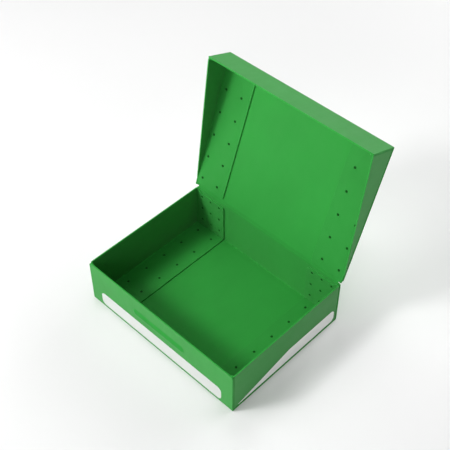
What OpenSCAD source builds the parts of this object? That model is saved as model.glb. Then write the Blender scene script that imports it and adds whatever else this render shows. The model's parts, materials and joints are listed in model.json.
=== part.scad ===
// Hinged storage box for a board game, folded and welded from polypropylene sheet.
// Origin: centre of the underside of the base. +X runs right along the front,
// -Y is the front, +Z is up. The lid is drawn open.

/* [Base] */
// Outside width of the base, left to right
base_w = 300; // [240:1:360]
// Outside depth of the base, front to back
base_d = 231; // [180:1:280]
// Height of the base walls
base_h = 82.5; // [60:0.5:110]

/* [Sheet] */
// Thickness of the plastic sheet
sheet_t = 2; // [1.2:0.1:2.5]
// Outside radius of every fold
fold_r = 3; // [2.6:0.1:5]
// Corner radius of the main sheet at the ends of the front rim and the crease
rim_r = 4; // [2:0.5:8]
// Play between parts that pass each other
play = 0.3; // [0.3:0.05:0.6]

/* [Lid] */
// Angle of the lid from closed
lid_open = 110; // [0:1:200]
// Depth of the lid's front wall
lid_front_h = 51.6; // [40:0.2:55]
// Depth of the lid's side walls at the hinge end
lid_back_h = 4; // [4:0.5:20]
// Gap between the side walls of the lid and of the base
lid_side_gap = 0.8; // [0.4:0.1:2]

/* [Flaps and welds] */
// Distance from the middle of the box to the base flaps' inner edges
base_flap_x = 88; // [70:1:100]
// Distance from the middle of the box to the lid flaps' inner edges
lid_flap_x = 92; // [70:1:100]
// Step down from a rim or crease to the end of a flap
flap_inset = 6; // [3:0.5:10]
// Corner radius of the flaps
flap_r = 4; // [2:0.5:14]
// Diameter of a weld spot
weld_d = 4.2; // [2:0.1:5]
// Depth of the dimple that the welding tip leaves
weld_dimple = 0.7; // [0.3:0.1:1]

/* [Front and labels] */
// Length of the closure rib on the front wall
rib_len = 110; // [60:1:140]
// Height of the closure rib's middle above the underside
rib_z = 52; // [48:0.5:60]
// Width of the closure rib
rib_w = 16; // [8:0.5:20]
// How far the closure rib stands proud
rib_proud = 1.6; // [0.6:0.1:1.6]
// Thickness of the label stock
label_t = 0.15; // [0.1:0.05:0.3]

/* [Hidden] */
$fn = 64;

sheet_green = [0.20, 0.62, 0.25];
side_green = [0.16, 0.55, 0.21];
weld_green = [0.07, 0.33, 0.11];
label_white = [0.95, 0.97, 0.95];

far = 400;               // longer than any part, for cutting
inner_r = fold_r - sheet_t;

// Base
half_w = base_w / 2;
half_d = base_d / 2;
wall_y = half_d - sheet_t;      // inner face of the front and back walls
flap_y = wall_y - sheet_t;      // inner face of the flaps on those walls
flap_top = base_h - flap_inset;

// Hinge axis: the lid sheet lies above the rim by one flap and the play
hinge_y = half_d - sheet_t / 2;
hinge_z = base_h + play + 1.5 * sheet_t;
web_t = 1;               // sheet thickness left where the crease is coined
web_end = 1.2;           // from the axis to the coined end of each sheet
taper_end = 4;           // from the axis to where the sheet is full again
bead_r = 0.7;            // radius of the crease's round bead

// Lid, in its own frame: p runs from the axis to the front, q to the inside
lid_len = hinge_y + half_d + play + 2 * sheet_t;
lid_half_w = half_w + lid_side_gap + sheet_t;
lid_wall_p = lid_len - sheet_t;          // inner face of the lid's front wall
lid_edge_q = lid_front_h - sheet_t / 2;  // open edge of the lid's front wall
lid_back_q = lid_back_h - sheet_t / 2;
lid_end_p = 2.5;                         // hinge end of the lid's side walls
lid_end_r = 1.5;                         // rounding of that end
lid_corner_r = 7;                        // corners of the lid at the crease

// Weld spots
floor_weld_x = [103.2, 133.5];
floor_weld_y = [for (k = [-2.5:1:2.5]) 39 * k];
wall_weld_x = [98.3, 117.4, 136.5];
wall_weld_z = [18, 44, 70];
lid_weld_x = [109.2, 141.2];
lid_weld_p = [for (k = [0:4]) 19.5 + 39.6 * k];
lid_front_weld_q = [14, 36];
weld_bite = sheet_t / 2;        // how far a weld reaches into the main sheet

// Labels
front_label_w = 256;
front_label_z = [6.5, 33];
side_label_y = [-107, 107];
side_label_z = [6, 31];
side_label_kink = 5;            // y where the label's sloping edge levels out
label_r = 8;

// ---- 2D helpers ----

// What a corner at the origin loses when it is rounded; the shape lies in +x, +y
module corner_waste(r) {
    difference() {
        translate([-1, -1]) square(r + 1);
        translate([r, r]) circle(r);
    }
}

// Rectangle from a to b; round lists which of [low-left, low-right, high-right, high-left]
module panel(a, b, r, round = [true, true, true, true]) {
    difference() {
        translate(a) square([b[0] - a[0], b[1] - a[1]]);
        if (round[0]) translate(a) corner_waste(r);
        if (round[1]) translate([b[0], a[1]]) mirror([1, 0]) corner_waste(r);
        if (round[2]) translate(b) rotate(180) corner_waste(r);
        if (round[3]) translate([a[0], b[1]]) mirror([0, 1]) corner_waste(r);
    }
}

// Sheet folded round a corner at the origin, both legs running towards -x and +y
module folded_corner(leg_x, leg_y) {
    difference() {
        panel([-leg_x, 0], [0, leg_y], fold_r, [false, true, false, false]);
        panel([-leg_x - 1, sheet_t], [-sheet_t, leg_y + 1], inner_r, [false, true, false, false]);
    }
}

// ---- Extrusion directions ----

// Draws a (y, z) outline and runs it along X
module along_x(a, b) {
    translate([a, 0, 0]) rotate([90, 0, 90]) linear_extrude(b - a) children();
}

// Draws an (x, z) outline and runs it along Y
module along_y(a, b) {
    translate([0, b, 0]) rotate([90, 0, 0]) linear_extrude(b - a) children();
}

// Places something drawn in the lid's (x, p, q) frame
module on_lid() {
    translate([0, hinge_y, hinge_z]) rotate([180 - lid_open, 0, 0]) children();
}

// Turns something drawn on the right into its twin on the left
module left() {
    mirror([1, 0, 0]) children();
}

// ---- Welds, drawn on the right side ----

// A weld pin at the origin whose head faces +z and whose foot reaches into the main sheet
module weld_pin() {
    translate([0, 0, -sheet_t - weld_bite])
        cylinder(h = sheet_t + weld_bite - weld_dimple, d = weld_d, $fn = 32);
}

// The bore of a weld, open at the flap's face
module weld_bore() {
    translate([0, 0, -sheet_t - weld_bite])
        cylinder(h = sheet_t + weld_bite + 1, d = weld_d, $fn = 32);
}

module at_floor_welds() {
    for (x = floor_weld_x, y = floor_weld_y)
        translate([x, y, 2 * sheet_t]) children();
}

module at_back_welds() {
    for (x = wall_weld_x, z = wall_weld_z)
        translate([x, flap_y, z]) rotate([90, 0, 0]) children();
}

module at_front_welds() {
    for (x = wall_weld_x, z = wall_weld_z)
        translate([x, -flap_y, z]) rotate([-90, 0, 0]) children();
}

module at_base_welds() {
    at_floor_welds() children();
    at_back_welds() children();
    at_front_welds() children();
}

module at_lid_top_welds() {
    for (x = lid_weld_x, p = lid_weld_p)
        translate([x, p, 1.5 * sheet_t]) children();
}

module at_lid_front_welds() {
    for (x = lid_weld_x, q = lid_front_weld_q)
        translate([x, lid_wall_p - sheet_t, q]) rotate([90, 0, 0]) children();
}

// ---- Base ----

// Front wall, floor and back wall in one folded sheet; the back wall thins to the crease
module base_profile() {
    back_top = hinge_z - web_end;
    difference() {
        panel([-half_d, 0], [half_d, back_top], fold_r, [true, true, false, false]);
        panel([-wall_y, sheet_t], [wall_y, far], inner_r, [true, true, false, false]);
        translate([-far, base_h]) square([far, far]);
        for (side = [-1, 1])
            translate([hinge_y, 0]) scale([side, 1]) polygon([
                [web_t / 2, back_top + 1],
                [web_t / 2, back_top],
                [sheet_t / 2, hinge_z - taper_end],
                [sheet_t, hinge_z - taper_end],
                [sheet_t, back_top + 1]
            ]);
    }
}

// Round-ended rib with gently sloping flanks, lying along X on the front wall
module closure_rib() {
    flank = 0.35 * rib_w;
    core = rib_len / 2 - rib_w / 2;
    translate([0, -half_d, rib_z]) rotate([90, 0, 0]) {
        for (side = [-1, 1])
            translate([side * core, 0, 0])
                cylinder(h = rib_proud, r1 = rib_w / 2, r2 = rib_w / 2 - flank);
        rotate([90, 0, 90]) linear_extrude(2 * core, center = true) polygon([
            [-rib_w / 2, 0], [rib_w / 2, 0],
            [rib_w / 2 - flank, rib_proud], [flank - rib_w / 2, rib_proud]
        ]);
    }
}

// What the right ends of the front rim and of the back wall's top lose to their rounding
module rim_waste() {
    along_y(-far, 0) translate([half_w, base_h]) rotate(180) corner_waste(rim_r);
    along_y(0, far) translate([half_w, hinge_z - web_end]) rotate(180) corner_waste(rim_r);
}

module base_sheet() {
    color(sheet_green) difference() {
        union() {
            along_x(-half_w, half_w) base_profile();
            closure_rib();
        }
        rim_waste();
        left() rim_waste();
        at_base_welds() weld_bore();
        left() at_base_welds() weld_bore();
    }
}

// A flap on the front (dir = -1) or back (dir = 1) wall, without its fold
module wall_flap(dir) {
    y = dir > 0 ? flap_y : -wall_y;
    along_y(y, y + sheet_t)
        panel([base_flap_x, 2 * sheet_t + play], [half_w - fold_r, flap_top],
              flap_r, [false, false, false, true]);
}

// Side wall with flaps folded in over the floor, the front wall and the back wall
module base_side() {
    fold_y = wall_y - fold_r;
    fold_z = sheet_t + fold_r;
    flap_end = wall_y - inner_r;      // clear of the main sheet's inside fold
    difference() {
        union() {
            along_y(-fold_y, fold_y)
                translate([half_w, sheet_t]) folded_corner(half_w - base_flap_x, base_h - sheet_t);
            translate([base_flap_x, -flap_end, sheet_t])
                cube([half_w - fold_r - base_flap_x, 2 * flap_end, sheet_t]);
            for (dir = [-1, 1]) {
                wall_flap(dir);
                translate([half_w, dir * wall_y, fold_z]) mirror([0, dir + 1, 0])
                    linear_extrude(base_h - fold_z) folded_corner(fold_r, fold_r);
            }
        }
        at_base_welds() weld_bore();
    }
}

module right_base_side() {
    color(side_green) base_side();
}

module left_base_side() {
    color(side_green) left() base_side();
}

// The coined web between the back wall and the lid, with a round bead on the axis
module living_hinge() {
    crease_w = base_w - 2 * rim_r;
    color(sheet_green) translate([-crease_w / 2, hinge_y, hinge_z]) {
        translate([0, -web_t / 2, -web_end]) cube([crease_w, web_t, web_end]);
        rotate([0, 90, 0]) cylinder(h = crease_w, r = bead_r, $fn = 32);
    }
}

// ---- Lid ----

// Top and front wall of the lid in one folded sheet; the top thins to the crease
module lid_profile() {
    difference() {
        translate([lid_len, -sheet_t / 2]) folded_corner(lid_len - web_end, lid_front_h);
        for (side = [-1, 1])
            scale([1, side]) polygon([
                [web_end - 1, web_t / 2],
                [web_end, web_t / 2],
                [taper_end, sheet_t / 2],
                [taper_end, sheet_t],
                [web_end - 1, sheet_t]
            ]);
    }
}

module lid_sheet() {
    color(sheet_green) on_lid() difference() {
        intersection() {
            along_x(-lid_half_w, lid_half_w) lid_profile();
            translate([0, 0, -far / 2]) linear_extrude(far)
                panel([-lid_half_w, 0], [lid_half_w, far], lid_corner_r, [true, true, false, false]);
        }
        at_lid_top_welds() weld_bore();
        at_lid_front_welds() weld_bore();
        left() at_lid_top_welds() weld_bore();
        left() at_lid_front_welds() weld_bore();
    }
}

// Outline of the lid's side wall: its open edge slopes from the front straight towards the
// hinge axis and levels out just before it
module lid_side_outline() {
    level_p = lid_wall_p * lid_back_q / lid_edge_q;
    difference() {
        polygon([
            [lid_end_p, 0], [lid_wall_p, 0], [lid_wall_p, lid_edge_q],
            [level_p, lid_back_q], [lid_end_p, lid_back_q]
        ]);
        translate([lid_end_p, lid_back_q]) mirror([0, 1]) corner_waste(lid_end_r);
    }
}

// Side wall with flaps folded in over the lid's top and front wall
module lid_side() {
    fold_p = lid_wall_p - fold_r;
    flap_q = sheet_t / 2;
    wall_x = lid_half_w;
    difference() {
        union() {
            // wall and the fold along its top
            intersection() {
                along_y(lid_end_p, fold_p)
                    translate([wall_x, flap_q]) folded_corner(fold_r, lid_front_h);
                along_x(half_w - fold_r, far) lid_side_outline();
            }
            // flap on the lid's top
            translate([0, 0, flap_q]) linear_extrude(sheet_t)
                panel([lid_flap_x, flap_inset], [wall_x - fold_r, lid_wall_p - inner_r],
                      flap_r, [true, false, false, false]);
            // flap on the lid's front wall
            along_y(lid_wall_p - sheet_t, lid_wall_p)
                panel([lid_flap_x, flap_q + sheet_t + play], [wall_x - fold_r, lid_edge_q - flap_inset],
                      flap_r, [false, false, false, true]);
            // fold at the front corner
            translate([wall_x, lid_wall_p, flap_q + fold_r]) mirror([0, 1, 0])
                linear_extrude(lid_edge_q - flap_q - fold_r) folded_corner(fold_r, fold_r);
        }
        at_lid_top_welds() weld_bore();
        at_lid_front_welds() weld_bore();
    }
}

module right_lid_side() {
    color(side_green) on_lid() lid_side();
}

module left_lid_side() {
    color(side_green) on_lid() left() lid_side();
}

// ---- Labels ----

module front_label() {
    color(label_white) along_y(-half_d - label_t, -half_d)
        panel([-front_label_w / 2, front_label_z[0]], [front_label_w / 2, front_label_z[1]], label_r);
}

// Long label whose top edge slopes down to a point at the front
module side_label() {
    along_x(half_w, half_w + label_t) difference() {
        panel([side_label_y[0], side_label_z[0]], [side_label_y[1], side_label_z[1]],
              label_r, [false, true, true, false]);
        polygon([
            [side_label_y[0] - 1, side_label_z[0] + 0.5],
            [side_label_y[0], side_label_z[0] + 0.5],
            [side_label_kink, side_label_z[1]],
            [side_label_kink, side_label_z[1] + 1],
            [side_label_y[0] - 1, side_label_z[1] + 1]
        ]);
    }
}

module right_side_label() {
    color(label_white) side_label();
}

module left_side_label() {
    color(label_white) left() side_label();
}

// ---- Weld groups ----

module right_floor_welds() {
    color(weld_green) at_floor_welds() weld_pin();
}

module left_floor_welds() {
    color(weld_green) left() at_floor_welds() weld_pin();
}

module right_back_welds() {
    color(weld_green) at_back_welds() weld_pin();
}

module left_back_welds() {
    color(weld_green) left() at_back_welds() weld_pin();
}

module right_front_welds() {
    color(weld_green) at_front_welds() weld_pin();
}

module left_front_welds() {
    color(weld_green) left() at_front_welds() weld_pin();
}

module right_lid_welds() {
    color(weld_green) on_lid() at_lid_top_welds() weld_pin();
}

module left_lid_welds() {
    color(weld_green) on_lid() left() at_lid_top_welds() weld_pin();
}

module right_lid_front_welds() {
    color(weld_green) on_lid() at_lid_front_welds() weld_pin();
}

module left_lid_front_welds() {
    color(weld_green) on_lid() left() at_lid_front_welds() weld_pin();
}

base_sheet();
left_base_side();
right_base_side();
living_hinge();
lid_sheet();
left_lid_side();
right_lid_side();
front_label();
left_side_label();
right_side_label();
left_floor_welds();
right_floor_welds();
left_back_welds();
right_back_welds();
left_front_welds();
right_front_welds();
left_lid_welds();
right_lid_welds();
left_lid_front_welds();
right_lid_front_welds();
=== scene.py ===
import json
import math
from collections import namedtuple

import bmesh
import bpy
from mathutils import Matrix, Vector
from mathutils.geometry import delaunay_2d_cdt


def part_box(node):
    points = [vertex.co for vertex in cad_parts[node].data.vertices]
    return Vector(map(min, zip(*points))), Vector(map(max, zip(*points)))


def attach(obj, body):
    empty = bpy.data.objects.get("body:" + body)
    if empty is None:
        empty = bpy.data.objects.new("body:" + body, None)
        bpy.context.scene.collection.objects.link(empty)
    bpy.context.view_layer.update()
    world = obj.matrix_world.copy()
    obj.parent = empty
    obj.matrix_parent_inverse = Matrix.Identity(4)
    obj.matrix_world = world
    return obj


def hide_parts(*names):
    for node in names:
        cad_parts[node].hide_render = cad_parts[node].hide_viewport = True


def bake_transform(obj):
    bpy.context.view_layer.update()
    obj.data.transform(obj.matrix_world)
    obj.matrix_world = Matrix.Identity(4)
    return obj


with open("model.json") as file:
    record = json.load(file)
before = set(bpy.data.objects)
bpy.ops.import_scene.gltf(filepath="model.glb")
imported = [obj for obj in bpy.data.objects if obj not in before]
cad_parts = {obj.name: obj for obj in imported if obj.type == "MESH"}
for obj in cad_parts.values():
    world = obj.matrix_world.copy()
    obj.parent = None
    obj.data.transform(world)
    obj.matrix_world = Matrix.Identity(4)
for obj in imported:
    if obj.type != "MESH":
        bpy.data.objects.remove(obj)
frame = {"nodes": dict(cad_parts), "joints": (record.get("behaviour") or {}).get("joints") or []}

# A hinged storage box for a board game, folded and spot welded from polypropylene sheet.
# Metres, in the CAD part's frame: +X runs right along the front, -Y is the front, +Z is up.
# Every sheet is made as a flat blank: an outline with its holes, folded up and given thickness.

MM = 0.001
X, Y, Z = Vector((1, 0, 0)), Vector((0, 1, 0)), Vector((0, 0, 1))
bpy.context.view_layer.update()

# ---- Sizes ----

SHEET = 2 * MM                        # thickness of the plastic sheet
FOLD_MID = 2 * MM                     # radius of every fold, at the middle of the sheet
BEND = FOLD_MID * math.pi / 2         # length of sheet that a fold takes
BEND_STEPS = 8                        # faces round a fold
PLAY = 0.3 * MM                       # between parts that pass each other
RIM_R = 4 * MM                        # ends of the front rim and of the crease
FLAP_R = 4 * MM                       # free corners of the flaps
FLAP_FOOT_R = 2 * MM                  # their corners next to the slits
FLAP_INSET = 6 * MM                   # from a rim or crease down to the end of a flap
SLIT = 0.15 * MM                      # half the width of the slit between two flaps at a corner
TURN = 1.2 * MM                       # from the end of a fold to where a flap's outline may step
SUPPORT = 0.6 * MM                    # from a fold to the line that keeps its flat side flat
CRISP = 4 * MM                        # reach of the crisp cut edge round an inside corner
CRISP_SHARE = 0.1                     # share of the usual rounding that is left there

WEB = 1 * MM                          # thickness where the crease is coined
WEB_END = 1.2 * MM                    # from the hinge axis to the coined end of each sheet
TAPER_END = 4 * MM                    # from the hinge axis to where a sheet is full again
TAPER_LINES = (1 * MM, 2 * MM, 2.8 * MM, 3.4 * MM)     # lines over a taper, from its thin end
CREASE_GROOVE = 0.17 * MM             # how far each face dips over the hinge axis
CREASE_BEAD = 0.10 * MM               # height of the ridge in the dip
CREASE_BEAD_W = 0.22 * MM             # half the width of that ridge
CREASE_STEPS = 16                     # faces from the back wall to the lid, on each side
CREASE_CAP = 0.4 * MM                 # the crease's short last stretch at each end

base_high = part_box("base_sheet")[1]
side_low, side_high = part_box("right_base_side")
HALF_W = base_high.x
HALF_D = base_high.y
BACK_TOP = base_high.z
BASE_H = side_high.z
BASE_FLAP_X = side_low.x
WALL_Y = HALF_D - SHEET               # inner face of the front and back walls

joint = frame["joints"][0]
HINGE = Vector(joint["pos_m"])
OPEN = math.radians(-joint["range_deg"][0])
LID_P = Vector((0, -math.cos(OPEN), math.sin(OPEN)))     # from the hinge to the lid's front
LID_Q = Vector((0, -math.sin(OPEN), -math.cos(OPEN)))    # from the lid's top to its inside


def lid_box(node):
    """Lowest and highest (x, p, q) of a CAD node on the lid, measured from the hinge axis."""
    spots = []
    for vertex in frame["nodes"][node].data.vertices:
        offset = vertex.co - HINGE
        spots.append((offset.x, offset.dot(LID_P), offset.dot(LID_Q)))
    return Vector(map(min, *spots)), Vector(map(max, *spots))


lid_high = lid_box("lid_sheet")[1]
lid_side_low = lid_box("right_lid_side")[0]
LID_HALF_W = lid_high.x
LID_LEN = lid_high.y
LID_EDGE_Q = lid_high.z               # open edge of the lid's front wall
LID_WALL_P = LID_LEN - SHEET          # inner face of the lid's front wall
LID_FLAP_X = lid_side_low.x
LID_END_P = lid_side_low.y            # hinge end of the lid's side walls
LID_BACK_Q = 3 * MM                   # open edge of those walls at the hinge end
LID_END_R = 1.0 * MM                  # rounding there
LID_CORNER_R = 7 * MM                 # corners of the lid sheet at the crease
LID_EDGE_R = 1 * MM                   # corners of its front wall at the open edge

WELD_R = 2.1 * MM
WELD_DEPTH = 0.7 * MM                 # from a flap's face down to the weld's head
WELD_STEPS = 24

RIB_HALF = 47 * MM                    # from the rib's middle to the centre of each round end
RIB_Z = 52 * MM
RIB_R = 8 * MM
RIB_PROUD = 1.6 * MM
RIB_CLEAR = 12 * MM                   # from the rib's middle to the lines that keep the wall flat

# Across a cut edge of the sheet: how far in, how far below the face, how worn
CUT_EDGE = [
    (0.50 * MM, 0, 0),
    (0.24 * MM, 0, 0.25),
    (0.07 * MM, 0.07 * MM, 0.8),
    (0, 0.24 * MM, 1),
]
LABEL_EDGE = [
    (0.30 * MM, 0, 0),
    (0.04 * MM, 0, 0.3),
    (0, 0.04 * MM, 1),
]

# Across a weld pit: radius, how far above the flap's face, how worn
PIT = [
    (3.10 * MM, 0, 0),
    (2.70 * MM, 0.05 * MM, 0),
    (2.40 * MM, 0.08 * MM, 0.1),
    (2.22 * MM, 0.02 * MM, 0.15),
    (2.13 * MM, -0.12 * MM, 0),
    (2.10 * MM, -0.40 * MM, 0),
]

# Across the closure rib: share of its radius, share of its height, how rubbed
RIB = [
    (1.06, 0, 0),
    (0.98, 0.01, 0.05),
    (0.88, 0.07, 0.25),
    (0.76, 0.22, 0.55),
    (0.64, 0.45, 0.85),
    (0.52, 0.69, 1),
    (0.40, 0.87, 1),
    (0.28, 0.97, 1),
    (0.16, 1, 1),
]

FAR = 1.0
CLOSE = 1e-6

# ---- Flat blanks ----

Fold = namedtuple("Fold", "axis sign start low high", defaults=(-FAR, FAR))


class Blank:
    """A sheet cut flat and then folded. Its panel lies along two directions from origin, and its
    flaps turn inward along the fold lines. A spot is a place on the flat blank."""

    def __init__(self, origin, along, across, inward, folds=(), thickness=None):
        self.origin = origin
        self.directions = (along, across)
        self.inward = inward
        self.folds = folds
        self.thickness = thickness

    def on_panel(self, spot):
        return self.origin + self.directions[0] * spot[0] + self.directions[1] * spot[1]

    def fold_at(self, spot):
        for fold in self.folds:
            reach = fold.sign * (spot[fold.axis] - fold.start)
            if reach > 0 and fold.low < spot[1 - fold.axis] < fold.high:
                return fold, reach
        return None, 0

    def place(self, spot, height):
        """Where a spot lies once folded, height above the middle of the sheet."""
        if self.thickness:
            height *= self.thickness(spot) / SHEET
        fold, reach = self.fold_at(spot)
        if fold is None:
            return self.on_panel(spot) + self.inward * height
        foot = list(spot)
        foot[fold.axis] = fold.start
        out = self.directions[fold.axis] * fold.sign
        angle = min(reach / FOLD_MID, math.pi / 2)
        beyond = reach - FOLD_MID * angle
        centre = self.on_panel(foot) + self.inward * FOLD_MID
        radial = out * math.sin(angle) - self.inward * math.cos(angle)
        return centre + radial * (FOLD_MID - height) + self.inward * beyond

    def bent(self, spot):
        """1 in the middle of a fold, falling to 0 at its two sides."""
        _, reach = self.fold_at(spot)
        return math.sin(math.pi * reach / BEND) if 0 < reach < BEND else 0

    def spot_on_flap(self, point, fold):
        """The flat spot of a point that lies on the flap beyond a fold."""
        offset = point - self.origin
        spot = [offset.dot(direction) for direction in self.directions]
        spot[fold.axis] = fold.start + fold.sign * (BEND - FOLD_MID + offset.dot(self.inward))
        return Vector(spot)

    def fold_cuts(self):
        """Lines of the flat blank, (axis, value), that divide every fold and flank it."""
        cuts = []
        for fold in self.folds:
            steps = [BEND * k / BEND_STEPS for k in range(BEND_STEPS + 1)]
            for reach in [-SUPPORT] + steps + [BEND + SUPPORT]:
                cuts.append((fold.axis, fold.start + fold.sign * reach))
        return cuts


def neighbours(loop):
    return zip(loop[-1:] + loop[:-1], loop, loop[1:] + loop[:1])


def rounded(*corners):
    """Anticlockwise outline through corners (a, b) or (a, b, radius), round where there's a radius."""
    outline = []
    for before, corner, after in neighbours(list(corners)):
        here = Vector(corner[:2])
        if len(corner) == 2:
            outline.append(here)
            continue
        radius = corner[2]
        back = (Vector(before[:2]) - here).normalized()
        on = (Vector(after[:2]) - here).normalized()
        half = back.angle(on) / 2
        middle = here + (back + on).normalized() * (radius / math.sin(half))
        arm = here + back * (radius / math.tan(half)) - middle
        turn = math.copysign(math.pi - 2 * half, on.x * back.y - on.y * back.x)
        steps = max(3, round(abs(turn) * math.sqrt(radius / MM) * 2))
        for k in range(steps + 1):
            c, s = math.cos(turn * k / steps), math.sin(turn * k / steps)
            outline.append(middle + Vector((c * arm.x - s * arm.y, s * arm.x + c * arm.y)))
    return outline


def crossings(here, after, cuts):
    """Points between two spots where cuts, (axis, value), cross the line between them."""
    shares = set()
    for axis, value in cuts:
        step = after[axis] - here[axis]
        share = (value - here[axis]) / step if abs(step) > CLOSE else 0
        if CLOSE < share * abs(step) and (1 - share) * abs(step) > CLOSE:
            shares.add(round(share, 6))
    return [here.lerp(after, share) for share in sorted(shares)]


def split(loop, cuts, depths):
    """The loop with a point wherever a cut crosses it, but none so near a corner that moving the
    loop inwards, by each corner's depth, would carry it past the corner."""
    clear = []
    for (before, here, after), depth in zip(neighbours(loop), depths):
        turn = (after - here).angle_signed(here - before)
        clear.append(depth * math.tan(max(0, turn) / 2) + CLOSE)
    divided = []
    for k, here in enumerate(loop):
        after = loop[(k + 1) % len(loop)]
        divided.append(here)
        for spot in crossings(here, after, cuts):
            if (spot - here).length > clear[k] and (after - spot).length > clear[(k + 1) % len(loop)]:
                divided.append(spot)
    return divided


def inset(loop, distance, hold=None):
    """The anticlockwise loop moved inwards, less where hold(point) is under 1."""
    moved = []
    for before, here, after in neighbours(loop):
        first = (here - before).normalized()
        second = (after - here).normalized()
        normals = Vector((-first.y, first.x)) + Vector((-second.y, second.x))
        mitre = normals / (1 + first.dot(second))
        moved.append(here + mitre * (distance * (hold(here) if hold else 1)))
    return moved


def stadium(centre, radius, half_length=0, count=WELD_STEPS):
    """Anticlockwise loop round two half circles, half_length either side of centre."""
    loop = []
    for k in range(count):
        turn = 2 * math.pi * (k + 0.5) / count
        shift = math.copysign(half_length, math.cos(turn))
        offset = Vector((shift + radius * math.cos(turn), radius * math.sin(turn)))
        loop.append(Vector(centre) + offset)
    return loop


def bridge(bm, rings):
    """Faces between neighbouring rings, each a list of as many vertices."""
    for first, second in zip(rings, rings[1:]):
        for k in range(len(first)):
            bm.faces.new((first[k - 1], first[k], second[k], second[k - 1]))


class SheetMesh:
    """Builds the closed mesh of a folded blank, with its wear and fold shares for the materials."""

    def __init__(self, blank, thickness=SHEET):
        self.blank = blank
        self.half = thickness / 2
        self.bm = bmesh.new()
        self.wear = self.bm.verts.layers.float.new("wear")
        self.fold = self.bm.verts.layers.float.new("fold")
        self.rubbed = self.bm.verts.layers.float.new("rubbed")
        self.cuts = blank.fold_cuts()
        self.openings = {1: [], -1: []}     # loops of (spot, vertex) in the inner and outer face

    def vertex(self, spot, height, wear=0):
        vertex = self.bm.verts.new(self.blank.place(spot, height))
        vertex[self.wear] = wear
        vertex[self.fold] = self.blank.bent(spot)
        return vertex

    def ring(self, loop, height, wear=0):
        return [(spot, self.vertex(spot, height, wear)) for spot in loop]

    def join_all(self, rings):
        bridge(self.bm, [[vertex for _, vertex in ring] for ring in rings])

    def pit(self, centre):
        """A weld's round pit in the inner face, open to the outer face for the weld itself."""
        rings = [self.ring(stadium(centre, r), self.half + rise, wear) for r, rise, wear in PIT]
        rings.append(self.ring(stadium(centre, WELD_R), -self.half))
        self.join_all(rings)
        self.openings[1].append(rings[0])
        self.openings[-1].append(rings[-1])

    def rib(self, centre, half_length):
        """A round-ended rib standing out of the outer face."""
        rings = []
        for share, rise, rubbed in RIB:
            loop = stadium(centre, RIB_R * share, half_length)
            ring = self.ring(loop, -self.half - RIB_PROUD * rise)
            for _, vertex in ring:
                vertex[self.rubbed] = rubbed
            rings.append(ring)
        self.join_all(rings)
        top = [vertex for _, vertex in rings[-1]]
        count = len(top)
        for k in range(count // 2 - 1):
            low, high = (count // 4 + k) % count, (count // 4 - 1 - k) % count
            ends = top[low], top[(low + 1) % count], top[(high - 1) % count], top[high]
            self.bm.faces.new(ends)
        self.openings[-1].append(rings[0])

    def edge(self, outline, section=CUT_EDGE, hold=None):
        """The cut edge all round, and the two faces inside it."""
        depths = [section[0][0] * (hold(spot) if hold else 1) for spot in outline]
        outline = split(outline, self.cuts, depths)
        steps = [(depth, self.half - drop, wear) for depth, drop, wear in section]
        steps += [(depth, -height, wear) for depth, height, wear in reversed(steps)]
        rings = [self.ring(inset(outline, depth, hold), height, wear) for depth, height, wear in steps]
        self.join_all(rings)
        self.face(rings[0], 1)
        self.face(rings[-1], -1)

    def divided(self, ring, height):
        """The ring with a new vertex wherever a cut crosses it, shared with the faces already there."""
        whole = []
        for (here, vertex), (after, last) in zip(ring, ring[1:] + ring[:1]):
            whole.append((here, vertex))
            for spot in crossings(here, after, self.cuts):
                _, made = bmesh.utils.edge_split(self.bm.edges.get((vertex, last)), vertex, 0.5)
                made.co = self.blank.place(spot, height)
                whole.append((spot, made))
                vertex = made
        return whole

    def face(self, edge, side):
        """Fills one face of the sheet between its edge and its openings."""
        spots, vertices, faces = [], [], []
        for ring in [edge] + self.openings[side]:
            loop = self.divided(ring, side * self.half)
            faces.append(list(range(len(spots), len(spots) + len(loop))))
            spots += [Vector(spot) for spot, _ in loop]
            vertices += [vertex for _, vertex in loop]
        lines = []
        for axis, value in self.cuts:
            ends = [Vector((value, -FAR)), Vector((value, FAR))]
            lines.append((len(spots), len(spots) + 1))
            spots += [end if axis == 0 else end.yx for end in ends]
        found, _, polygons, origins, _, face_origins = delaunay_2d_cdt(spots, lines, faces, 4, CLOSE)
        made = {}
        for k, sources in enumerate(origins):
            known = [n for n in sources if n < len(vertices)]
            if known:
                made[k] = vertices[known[0]]
        for polygon, sources in zip(polygons, face_origins):
            if list(sources) != [0]:
                continue
            for k in polygon:
                if k not in made:
                    made[k] = self.vertex(found[k], side * self.half)
            self.bm.faces.new([made[k] for k in polygon])

    def finished(self):
        bmesh.ops.remove_doubles(self.bm, verts=self.bm.verts, dist=CLOSE)
        bmesh.ops.recalc_face_normals(self.bm, faces=self.bm.faces)
        return self.bm


def make_piece(bm, name, material, body=None, replaced=(), sharp=50):
    """Turns a finished bmesh into a smooth-shaded piece of the model."""
    mesh = bpy.data.meshes.new(name)
    bm.to_mesh(mesh)
    bm.free()
    mesh.shade_smooth()
    mesh.set_sharp_from_angle(angle=math.radians(sharp))
    mesh.materials.append(material)
    piece = bpy.data.objects.new(name, mesh)
    bpy.context.scene.collection.objects.link(piece)
    if body:
        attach(piece, body)
    if replaced:
        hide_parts(*replaced)
    return piece


# ---- Materials ----


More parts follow.
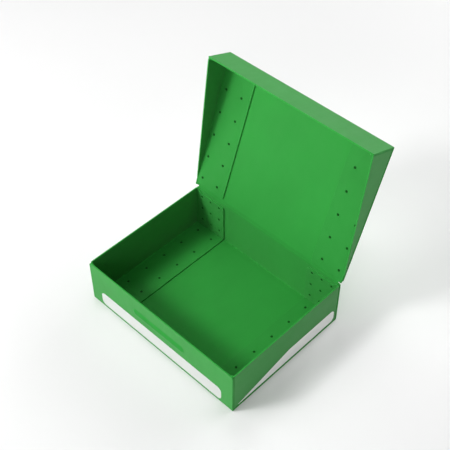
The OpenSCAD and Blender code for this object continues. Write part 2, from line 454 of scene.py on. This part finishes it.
class Nodes:
    """A short way to write a node material."""

    def __init__(self, name):
        self.material = bpy.data.materials.new(name)
        self.material.use_nodes = True
        self.tree = self.material.node_tree
        self.shader = self.tree.nodes["Principled BSDF"]
        coordinates = self.tree.nodes.new("ShaderNodeTexCoord")
        self.place = coordinates.outputs["Object"]

    def put(self, socket, value):
        if isinstance(value, bpy.types.NodeSocket):
            self.tree.links.new(value, socket)
        else:
            socket.default_value = value

    def noise(self, scale, detail=2, roughness=0.5, stretch=None):
        node = self.tree.nodes.new("ShaderNodeTexNoise")
        place = self.place
        if stretch:
            mapping = self.tree.nodes.new("ShaderNodeMapping")
            mapping.inputs["Scale"].default_value = stretch
            self.put(mapping.inputs["Vector"], place)
            place = mapping.outputs["Vector"]
        self.put(node.inputs["Vector"], place)
        self.put(node.inputs["Scale"], scale)
        self.put(node.inputs["Detail"], detail)
        self.put(node.inputs["Roughness"], roughness)
        return node.outputs["Fac"]

    def distance(self, centre):
        """How far a point is from centre."""
        node = self.tree.nodes.new("ShaderNodeVectorMath")
        node.operation = "DISTANCE"
        self.put(node.inputs[0], self.place)
        self.put(node.inputs[1], centre)
        return node.outputs["Value"]

    def attribute(self, name):
        node = self.tree.nodes.new("ShaderNodeAttribute")
        node.attribute_name = name
        return node.outputs["Fac"]

    def fit(self, value, low, high, to_low=0.0, to_high=1.0):
        """value from low to high, as to_low to to_high, held within them."""
        node = self.tree.nodes.new("ShaderNodeMapRange")
        for name, number in [
            ("Value", value), ("From Min", low), ("From Max", high),
            ("To Min", to_low), ("To Max", to_high),
        ]:
            self.put(node.inputs[name], number)
        return node.outputs["Result"]

    def math(self, operation, first, second):
        node = self.tree.nodes.new("ShaderNodeMath")
        node.operation = operation
        self.put(node.inputs[0], first)
        self.put(node.inputs[1], second)
        return node.outputs["Value"]

    def mix(self, share, first, second):
        node = self.tree.nodes.new("ShaderNodeMix")
        node.data_type = "RGBA"
        colours = [socket for socket in node.inputs if socket.type == "RGBA"]
        self.put(node.inputs["Factor"], share)
        self.put(colours[0], first)
        self.put(colours[1], second)
        return [socket for socket in node.outputs if socket.type == "RGBA"][0]

    def bump(self, height, distance, strength=1.0, under=None):
        node = self.tree.nodes.new("ShaderNodeBump")
        self.put(node.inputs["Height"], height)
        self.put(node.inputs["Distance"], distance)
        self.put(node.inputs["Strength"], strength)
        if under:
            self.put(node.inputs["Normal"], under)
        return node.outputs["Normal"]

    def finish(self, colour, roughness, normal, **others):
        self.put(self.shader.inputs["Base Color"], colour)
        self.put(self.shader.inputs["Roughness"], roughness)
        self.put(self.shader.inputs["Normal"], normal)
        for name, value in others.items():
            self.put(self.shader.inputs[name.replace("_", " ")], value)
        return self.material


def shade(colour, factor):
    return tuple(channel * factor for channel in colour[:3]) + (1,)


def polypropylene(name, colour):
    """Extruded sheet with a fine matt grain, cloudy colour, faint rub marks and pale worn edges."""
    n = Nodes(name)
    clouds = n.noise(9, detail=3)
    streaks = n.noise(30, detail=3, stretch=(1, 1, 0.15))
    grain = n.noise(2600, detail=2, roughness=0.6)
    rubs = n.noise(55, detail=6, roughness=0.7, stretch=(1.0, 0.22, 0.5))
    breakup = n.noise(420, detail=3)
    wear = n.math("MULTIPLY", n.attribute("wear"), n.fit(breakup, 0.35, 0.65, 0.35, 1.0))
    fold = n.math("MULTIPLY", n.attribute("fold"), n.fit(breakup, 0.3, 0.7, 0.6, 1.0))
    body = n.mix(n.fit(clouds, 0.3, 0.7), shade(colour, 0.95), shade(colour, 1.05))
    body = n.mix(n.fit(streaks, 0.45, 0.75, 0, 0.12), body, shade(colour, 1.25))
    body = n.mix(n.math("MULTIPLY", fold, 0.07), body, shade(colour, 1.7))
    body = n.mix(n.math("MULTIPLY", wear, 0.22), body, shade(colour, 1.9))
    rough = n.fit(rubs, 0.35, 0.75, 0.62, 0.76)
    rough = n.math("ADD", rough, n.math("MULTIPLY", wear, 0.12))
    normal = n.bump(grain, 0.03 * MM, 0.55)
    normal = n.bump(clouds, 0.9 * MM, 0.35, under=normal)
    matt = n.fit(n.attribute("rubbed"), 0, 1, 0.15, 0.0)
    return n.finish(body, rough, normal, IOR=1.33, Sheen_Weight=matt, Sheen_Roughness=0.5)


def weld_plastic(name, colour):
    """Sheet melted under the welding tip, slightly rippled. Darker than the sheet: partly the melted
    plastic's own tone, partly painted shade of the pit it lies in.
    """
    n = Nodes(name)
    ripple = n.noise(900, detail=2)
    tint = n.noise(260, detail=2)
    wear = n.attribute("wear")
    body = n.mix(n.fit(tint, 0.3, 0.7), shade(colour, 0.8), shade(colour, 1.15))
    body = n.mix(n.math("MULTIPLY", wear, 0.35), body, shade(colour, 2.2))
    normal = n.bump(ripple, 0.08 * MM, 0.6)
    return n.finish(body, n.fit(ripple, 0.3, 0.7, 0.52, 0.66), normal, IOR=1.18)


def label_paper(name, colour):
    """Coated label stock: white, with a faint fibre mottle and a slightly soiled edge."""
    n = Nodes(name)
    fibre = n.noise(1500, detail=4, roughness=0.65, stretch=(1, 1, 0.35))
    mottle = n.noise(45, detail=3)
    wear = n.attribute("wear")
    body = n.mix(n.fit(mottle, 0.3, 0.7), shade(colour, 0.965), colour)
    body = n.mix(n.fit(fibre, 0.5, 0.8, 0, 0.25), body, shade(colour, 0.93))
    body = n.mix(n.math("MULTIPLY", wear, 0.3), body, shade(colour, 0.7))
    normal = n.bump(fibre, 0.02 * MM, 0.5)
    return n.finish(body, n.fit(mottle, 0.3, 0.7, 0.46, 0.58), normal, IOR=1.45)


GLOW_FROM, GLOW_TO = 1.0, 2.5         # from the box to where the floor's far glow starts and is full
FAR_GLOW = 0.85
LID_SHADE = (0.07, 0.29, 0)           # middle of the ground that the open lid shades
LID_SHADE_REACH = 0.55


def studio_floor(name, colour):
    """Pale paper. It glows far from the box, where the softboxes don't reach, and a little where the
    open lid shades it."""
    n = Nodes(name)
    mottle = n.noise(4, detail=2)
    grain = n.noise(700, detail=2)
    body = n.mix(n.fit(mottle, 0.3, 0.7), shade(colour, 0.995), colour)
    far = n.fit(n.distance((0, 0, 0)), GLOW_FROM, GLOW_TO, 0, FAR_GLOW)
    lift = n.fit(n.distance(LID_SHADE), 0, LID_SHADE_REACH, 0.58, 0)
    glow = n.math("ADD", far, n.math("MULTIPLY", lift, lift))
    normal = n.bump(grain, 0.02 * MM, 0.2)
    return n.finish(body, 0.7, normal, Emission_Color=(1, 1, 1, 1), Emission_Strength=glow)


GREEN = (0.0135, 0.260, 0.0270, 1)
# The side sheets are the same plastic as the main sheet. Their green is painted a little darker, as
# painted shade for the side walls.
SIDE_GREEN_PAINTED_SHADE = (0.0130, 0.246, 0.0260, 1)
# weld heads: a dark green that is partly the melted plastic's tone and partly painted shade of their
# pits
WELD_GREEN_AND_PIT_SHADE = (0.001, 0.066, 0.004, 1)
# The labels are one white stock. The front label's white is painted darker, as painted shade against
# the strong light on the front wall. The side labels' white is painted brighter, as painted light for
# the shaded side walls.
FRONT_WHITE_PAINTED_SHADE = (0.62, 0.64, 0.62, 1)
SIDE_WHITE_PAINTED_LIGHT = (0.89, 0.91, 0.88, 1)

SHEET_PLASTIC = polypropylene("sheet_plastic", GREEN)
SIDE_PLASTIC = polypropylene("side_plastic", SIDE_GREEN_PAINTED_SHADE)
WELD_PLASTIC = weld_plastic("weld_plastic", WELD_GREEN_AND_PIT_SHADE)
FRONT_PAPER_PAINTED_SHADE = label_paper("front_paper_painted_shade", FRONT_WHITE_PAINTED_SHADE)
SIDE_PAPER_PAINTED_LIGHT = label_paper("side_paper_painted_light", SIDE_WHITE_PAINTED_LIGHT)

# ---- Welds ----


def islands(bm):
    """The separate solids of a bmesh, each a set of vertices."""
    left = set(bm.verts)
    while left:
        island, edge = set(), [left.pop()]
        while edge:
            vertex = edge.pop()
            island.add(vertex)
            others = {link.other_vert(vertex) for link in vertex.link_edges} & left
            left -= others
            edge += others
        yield island


def weld_centres(node, facing):
    """Head centres of a CAD weld group: the middle of each pin, at its end towards facing."""
    bm = bmesh.new()
    bm.from_mesh(frame["nodes"][node].data)
    bmesh.ops.remove_doubles(bm, verts=bm.verts, dist=CLOSE)
    centres = []
    for island in islands(bm):
        spots = [vertex.co for vertex in island]
        middle = (Vector(map(min, *spots)) + Vector(map(max, *spots))) / 2
        reach = max((spot - middle).dot(facing) for spot in spots)
        centres.append(middle + facing * reach)
    bm.free()
    return sorted(centres, key=lambda spot: tuple(round(value, 5) for value in spot))


# From the middle of a weld's head to its rim and down its side: radius, height, wear
WELD_HEAD = [
    (0.28 * MM, 0.18 * MM, 0.5),
    (0.54 * MM, 0.12 * MM, 0.2),
    (0.80 * MM, -0.04 * MM, 0),
    (1.35 * MM, -0.10 * MM, 0),
    (1.78 * MM, -0.02 * MM, 0),
    (2.00 * MM, 0.16 * MM, 0.1),
    (2.09 * MM, 0.20 * MM, 0.1),
    (2.09 * MM, -(SHEET - WELD_DEPTH), 0),
]


def add_weld_head(bm, centre, facing, wear_layer):
    """A dished disc with a pip in its middle, facing out of its pit."""
    side = facing.orthogonal().normalized()
    other = facing.cross(side)
    rings = []
    for radius, height, wear in WELD_HEAD:
        ring = []
        for k in range(WELD_STEPS):
            turn = 2 * math.pi * k / WELD_STEPS
            offset = side * (radius * math.cos(turn)) + other * (radius * math.sin(turn))
            vertex = bm.verts.new(centre + offset + facing * height)
            vertex[wear_layer] = wear
            ring.append(vertex)
        rings.append(ring)
    bm.faces.new(rings[0])
    bm.faces.new(rings[-1][::-1])
    bridge(bm, rings)


def make_welds(node, facing, body):
    """The weld heads of one group, each lying in its pit."""
    bm = bmesh.new()
    wear_layer = bm.verts.layers.float.new("wear")
    for centre in weld_centres(node, facing):
        add_weld_head(bm, centre, facing, wear_layer)
    bmesh.ops.recalc_face_normals(bm, faces=bm.faces)
    make_piece(bm, node + "_heads", WELD_PLASTIC, body, [node])


def between(values):
    """Midpoints between neighbouring distinct values."""
    distinct = sorted({round(value, 5) for value in values})
    return [(low + high) / 2 for low, high in zip(distinct, distinct[1:])]


def add_pits(sheet, groups):
    """Pits for weld groups (node, facing, fold) on a sheet's flaps, with lines between their rows."""
    for node, facing, fold in groups:
        spots = [sheet.blank.spot_on_flap(centre, fold) for centre in weld_centres(node, facing)]
        for spot in spots:
            sheet.pit(spot)
        for axis in (0, 1):
            sheet.cuts += [(axis, value) for value in between([spot[axis] for spot in spots])]


# ---- Base ----


def tapered(distance):
    """Thickness of a sheet at a distance from the hinge axis."""
    share = (distance - WEB_END) / (TAPER_END - WEB_END)
    return WEB + (SHEET - WEB) * min(1, max(0, share))


def make_base_sheet():
    """Front wall, floor and back wall in one blank, lying along (x, y)."""
    panel_y = HALF_D - SHEET / 2 - FOLD_MID
    start_z = SHEET / 2 + FOLD_MID
    front_end = -panel_y - BEND - (BASE_H - start_z)
    back_end = panel_y + BEND + (BACK_TOP - start_z)
    front, back = Fold(1, -1, -panel_y), Fold(1, 1, panel_y)

    def thickness(spot):
        return tapered(back_end - spot[1] + WEB_END)

    def hold(spot):
        return min(1, max(0, (back_end - spot[1]) / RIM_R))

    blank = Blank(Z * (SHEET / 2), X, Y, Z, [front, back], thickness)
    sheet = SheetMesh(blank)
    rib_y = front_end + (BASE_H - RIB_Z)
    sheet.rib((0, rib_y), RIB_HALF)
    sheet.cuts += [(1, back_end - distance) for distance in TAPER_LINES]
    sheet.cuts += [(1, y) for y in (rib_y - RIB_CLEAR, rib_y + RIB_CLEAR)]
    sheet.cuts += [(0, HALF_W * k / 4) for k in range(-3, 4)]
    sheet.edge(
        rounded(
            (-HALF_W, front_end, RIM_R), (HALF_W, front_end, RIM_R),
            (HALF_W, back_end, RIM_R), (-HALF_W, back_end, RIM_R),
        ),
        hold=hold,
    )
    make_piece(sheet.finished(), "base_main_sheet", SHEET_PLASTIC, "base", ["base_sheet"])


def side_outline(fold_a, fold_b, flap_a, flap_b, top, low_end):
    """Right-hand half of a side blank, from the middle of its lower flap to the middle of its rim.
    fold_a, fold_b: where the wall flap and the lower flap start to bend. flap_a, flap_b: their
    ends. top: the rim. low_end: the lower end of the wall flap."""
    turn_a = fold_a + BEND + TURN
    return [
        (fold_a + FOLD_MID, flap_b, FLAP_FOOT_R),
        (fold_a + FOLD_MID, fold_b - SLIT),
        (fold_a - SLIT, fold_b - SLIT),
        (fold_a - SLIT, fold_b + SLIT),
        (turn_a, fold_b + SLIT),
        (turn_a, low_end),
        (flap_a, low_end, FLAP_FOOT_R),
        (flap_a, top - FLAP_INSET, FLAP_R),
        (turn_a + FLAP_INSET, top - FLAP_INSET),
        (turn_a, top),
    ]


def crisp_near(*corners):
    """A hold for edge(): next to these corners the cut edge is rounded very little."""

    def hold(spot):
        near = min((spot - Vector(corner)).length for corner in corners)
        return CRISP_SHARE if near < CRISP else 1

    return hold


def make_base_side(name, hand):
    """Side wall with flaps turned in over the floor and the front and back walls, along (y, z)."""
    fold_y = WALL_Y - SHEET / 2 - FOLD_MID
    fold_z = SHEET + SHEET / 2 + FOLD_MID
    flap = HALF_W - SHEET / 2 - FOLD_MID - BASE_FLAP_X
    bottom = Fold(1, -1, fold_z, -fold_y - BEND, fold_y + BEND)
    front, back = Fold(0, -1, -fold_y), Fold(0, 1, fold_y)
    blank = Blank(X * (hand * (HALF_W - SHEET / 2)), Y, Z, -X * hand, [bottom, front, back])
    sheet = SheetMesh(blank)
    add_pits(sheet, [
        (name + "_floor_welds", Z, bottom),
        (name + "_front_welds", Y, front),
        (name + "_back_welds", -Y, back),
    ])
    half = side_outline(
        fold_y, fold_z, fold_y + BEND + flap, fold_z - BEND - flap, BASE_H, 2 * SHEET + PLAY
    )
    mirrored = [(-corner[0],) + corner[1:] for corner in reversed(half)]
    sheet.edge(rounded(*half, *mirrored), hold=crisp_near((fold_y, fold_z), (-fold_y, fold_z)))
    make_piece(
        sheet.finished(), name + "_base_side_sheet", SIDE_PLASTIC, "base",
        [name + "_base_side"],
    )


def crease_section():
    """Points round the coined web's section at x = 0, each with its fold share."""
    section = []
    for side in (1, -1):
        for k in range(CREASE_STEPS + 1):
            share = side * (2 * k / CREASE_STEPS - 1)
            # the web turns from the wall to the lid on a smooth curve
            lean = (OPEN - math.pi / 2) * (0.5 + 0.5 * share)
            inward = Vector((0, -math.cos(lean), math.sin(lean)))
            along = LID_P if share > 0 else Z
            middle = HINGE + along * (share * WEB_END)
            groove = CREASE_GROOVE * math.cos(share * math.pi / 2) ** 2
            bead = CREASE_BEAD * math.exp(-((share * WEB_END / CREASE_BEAD_W) ** 2))
            height = WEB / 2 - groove + bead
            section.append((middle + inward * (side * height), 1 - abs(share)))
    return section


def make_hinge():
    """The coined web between the back wall and the lid, curved from one to the other at the lid's open
    angle.
    """
    half_w = HALF_W - RIM_R
    stations = [-half_w, CREASE_CAP - half_w] + [half_w * k / 6 for k in range(-5, 6)]
    stations += [half_w - CREASE_CAP, half_w]
    section = crease_section()
    bm = bmesh.new()
    wear_layer = bm.verts.layers.float.new("wear")
    fold_layer = bm.verts.layers.float.new("fold")
    rings = []
    for x in stations:
        ring = []
        for point, fold in section:
            vertex = bm.verts.new(point + X * x)
            vertex[fold_layer] = fold
            vertex[wear_layer] = 0.6 if abs(x) == half_w else 0
            ring.append(vertex)
        rings.append(ring)
    bridge(bm, rings)
    bm.faces.new(rings[0])
    bm.faces.new(rings[-1])
    bmesh.ops.recalc_face_normals(bm, faces=bm.faces)
    piece = make_piece(bm, "hinge_web", SHEET_PLASTIC, replaced=["living_hinge"])
    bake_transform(piece)


# ---- Lid ----


def make_lid_sheet():
    """Top and front wall of the lid in one blank, lying along (x, p)."""
    fold_p = LID_LEN - SHEET / 2 - FOLD_MID
    front_end = fold_p + BEND + (LID_EDGE_Q - FOLD_MID)

    def thickness(spot):
        return tapered(spot[1])

    def hold(spot):
        return min(1, max(0, (spot[1] - WEB_END) / RIM_R))

    blank = Blank(HINGE, X, LID_P, LID_Q, [Fold(1, 1, fold_p)], thickness)
    sheet = SheetMesh(blank)
    sheet.cuts += [(1, WEB_END + distance) for distance in TAPER_LINES]
    sheet.cuts += [(0, LID_HALF_W * k / 4) for k in range(-3, 4)]
    sheet.edge(
        rounded(
            (-LID_HALF_W, WEB_END, LID_CORNER_R), (LID_HALF_W, WEB_END, LID_CORNER_R),
            (LID_HALF_W, front_end, LID_EDGE_R), (-LID_HALF_W, front_end, LID_EDGE_R),
        ),
        hold=hold,
    )
    make_piece(sheet.finished(), "lid_main_sheet", SHEET_PLASTIC, "lid", ["lid_sheet"])


def make_lid_side(name, hand):
    """Lid side wall with flaps turned in over the top and the front wall, along (p, q)."""
    fold_p = LID_WALL_P - SHEET / 2 - FOLD_MID
    fold_q = SHEET + FOLD_MID
    flap = LID_HALF_W - SHEET / 2 - FOLD_MID - LID_FLAP_X
    top = Fold(1, -1, fold_q, -FAR, fold_p + BEND)
    front = Fold(0, 1, fold_p)
    origin = HINGE + X * (hand * (LID_HALF_W - SHEET / 2))
    blank = Blank(origin, LID_P, LID_Q, -X * hand, [top, front])
    sheet = SheetMesh(blank)
    add_pits(sheet, [
        (name + "_lid_welds", LID_Q, top),
        (name + "_lid_front_welds", -LID_P, front),
    ])
    flap_end = fold_q - BEND - flap
    front_end = side_outline(
        fold_p, fold_q, fold_p + BEND + flap, flap_end, LID_EDGE_Q, SHEET / 2 + SHEET + PLAY
    )
    # the open edge slopes towards the hinge axis and levels out just before it
    slope = LID_EDGE_Q / LID_WALL_P
    turn = fold_q - BEND - TURN
    bend_p = fold_p - 2 * TURN
    hinge_end = [
        (bend_p, slope * bend_p),
        (LID_BACK_Q / slope, LID_BACK_Q),
        (LID_END_P, LID_BACK_Q, LID_END_R),
        (LID_END_P, turn),
        (FLAP_INSET, turn - (FLAP_INSET - LID_END_P)),
        (FLAP_INSET, flap_end, FLAP_R),
    ]
    sheet.edge(rounded(*front_end, *hinge_end), hold=crisp_near((fold_p, fold_q)))
    make_piece(
        sheet.finished(), name + "_lid_side_sheet", SIDE_PLASTIC, "lid",
        [name + "_lid_side"],
    )


# ---- Labels ----

LABEL_R = 8 * MM
LABEL_TIP_R = 0.5 * MM                # point of a side label
LABEL_KINK_R = 12 * MM                # where a side label's sloping edge levels out
LABEL_KINK = 0.523                    # share of its length at which it does


def make_label(node, along, outward):
    """A label field stuck on a wall. Its outline follows the CAD node's box."""
    low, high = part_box(node)
    thickness = abs((high - low).dot(outward))
    middle = (low + high) / 2
    origin = outward * middle.dot(outward)
    near, far = low.dot(along), high.dot(along)
    bottom, top = low.z, high.z
    # side labels take the white painted brighter (painted light); the front label takes the white
    # painted darker (painted shade)
    paper = SIDE_PAPER_PAINTED_LIGHT
    if node == "front_label":
        paper = FRONT_PAPER_PAINTED_SHADE
        corners = [(near, bottom), (far, bottom), (far, top), (near, top)]
        outline = rounded(*[corner + (LABEL_R,) for corner in corners])
    else:
        kink = near + (far - near) * LABEL_KINK
        outline = rounded(
            (near, bottom, LABEL_TIP_R), (far, bottom, LABEL_R), (far, top, LABEL_R),
            (kink, top, LABEL_KINK_R),
        )
    sheet = SheetMesh(Blank(origin, along, Z, outward), thickness)
    sheet.edge(outline, LABEL_EDGE)
    make_piece(sheet.finished(), node + "_field", paper, "base", [node])


# ---- The object ----

make_base_sheet()
make_lid_sheet()
make_hinge()
for name, hand in (("left", -1), ("right", 1)):
    make_base_side(name, hand)
    make_lid_side(name, hand)
    make_welds(name + "_floor_welds", Z, "base")
    make_welds(name + "_front_welds", Y, "base")
    make_welds(name + "_back_welds", -Y, "base")
    make_welds(name + "_lid_welds", LID_Q, "lid")
    make_welds(name + "_lid_front_welds", -LID_P, "lid")
    make_label(name + "_side_label", Y, X * hand)
make_label("front_label", X, -Y)

# ---- Stage ----

FLOOR_HALF = 40                       # half the side of the floor
FLOOR_WHITE = (0.76, 0.76, 0.76, 1)


def make_floor():
    """A large pale floor under the box."""
    bm = bmesh.new()
    bmesh.ops.create_grid(bm, x_segments=8, y_segments=8, size=FLOOR_HALF)
    mesh = bpy.data.meshes.new("studio_floor")
    bm.to_mesh(mesh)
    bm.free()
    mesh.materials.append(studio_floor("floor_paper", FLOOR_WHITE))
    floor = bpy.data.objects.new("studio_floor", mesh)
    bpy.context.scene.collection.objects.link(floor)


def make_camera():
    """Camera at the photograph's angle: over the box's near right corner, looking down."""
    azimuth, elevation = math.radians(44.13), math.radians(46.59)
    target = Vector((-17.45, 42.33, 143.07)) * MM
    distance = 1.400
    back = Vector((
        math.sin(azimuth) * math.cos(elevation),
        -math.cos(azimuth) * math.cos(elevation),
        math.sin(elevation),
    ))
    data = bpy.data.cameras.new("camera")
    data.sensor_width = 36
    data.lens = 75.82
    camera = bpy.data.objects.new("camera", data)
    camera.location = target + back * distance
    camera.rotation_mode = "QUATERNION"
    camera.rotation_quaternion = (-back).to_track_quat("-Z", "Y")
    bpy.context.scene.collection.objects.link(camera)
    bpy.context.scene.camera = camera


# Softboxes round the box: name, azimuth, elevation, width, height, watts.
# Azimuth 0 is in front and 90 is on the right.
SOFTBOXES = [
    ("key", -31, 40, 0.5, 0.5, 31),
    ("front_left_panel", -40, 36, 2.4, 1.2, 41),
    ("front_right_panel", 30, 30, 1.0, 1.0, 8),
    ("back_panel", 180, 30, 1.0, 1.0, 23),
    ("back_right_panel", 150, 30, 1.0, 1.0, 11),
    ("left_panel", -120, 60, 1.0, 1.0, 13),
    ("overhead_panel", 90, 80, 1.0, 1.0, 7),
]
SOFTBOX_FAR = 2.5
SOFTBOX_AIM = Z * 0.1


def add_softbox(name, azimuth, elevation, width, height, watts):
    """An area light that faces the middle of the box."""
    turn, tilt = math.radians(azimuth), math.radians(elevation)
    back = Vector((
        math.sin(turn) * math.cos(tilt), -math.cos(turn) * math.cos(tilt), math.sin(tilt)
    ))
    data = bpy.data.lights.new(name, "AREA")
    data.shape = "RECTANGLE"
    data.size = width
    data.size_y = height
    data.energy = watts
    light = bpy.data.objects.new(name, data)
    light.location = SOFTBOX_AIM + back * SOFTBOX_FAR
    light.rotation_mode = "QUATERNION"
    light.rotation_quaternion = (-back).to_track_quat("-Z", "Y")
    bpy.context.scene.collection.objects.link(light)


def make_backdrop():
    """A world that is bright just above the floor's far edge and dim higher up."""
    world = bpy.data.worlds.new("studio")
    world.use_nodes = True
    tree = world.node_tree
    coordinates = tree.nodes.new("ShaderNodeTexCoord")
    parts = tree.nodes.new("ShaderNodeSeparateXYZ")
    fade = tree.nodes.new("ShaderNodeMapRange")
    for name, number in [
        ("From Min", 0.08), ("From Max", 0.22), ("To Min", 0.80), ("To Max", 0.04),
    ]:
        fade.inputs[name].default_value = number
    tree.links.new(coordinates.outputs["Generated"], parts.inputs["Vector"])
    tree.links.new(parts.outputs["Z"], fade.inputs["Value"])
    background = tree.nodes["Background"]
    background.inputs["Color"].default_value = (1, 1, 1, 1)
    tree.links.new(fade.outputs["Result"], background.inputs["Strength"])
    bpy.context.scene.world = world


make_floor()
make_camera()
for softbox in SOFTBOXES:
    add_softbox(*softbox)
make_backdrop()
bpy.context.scene.view_settings.view_transform = "Standard"
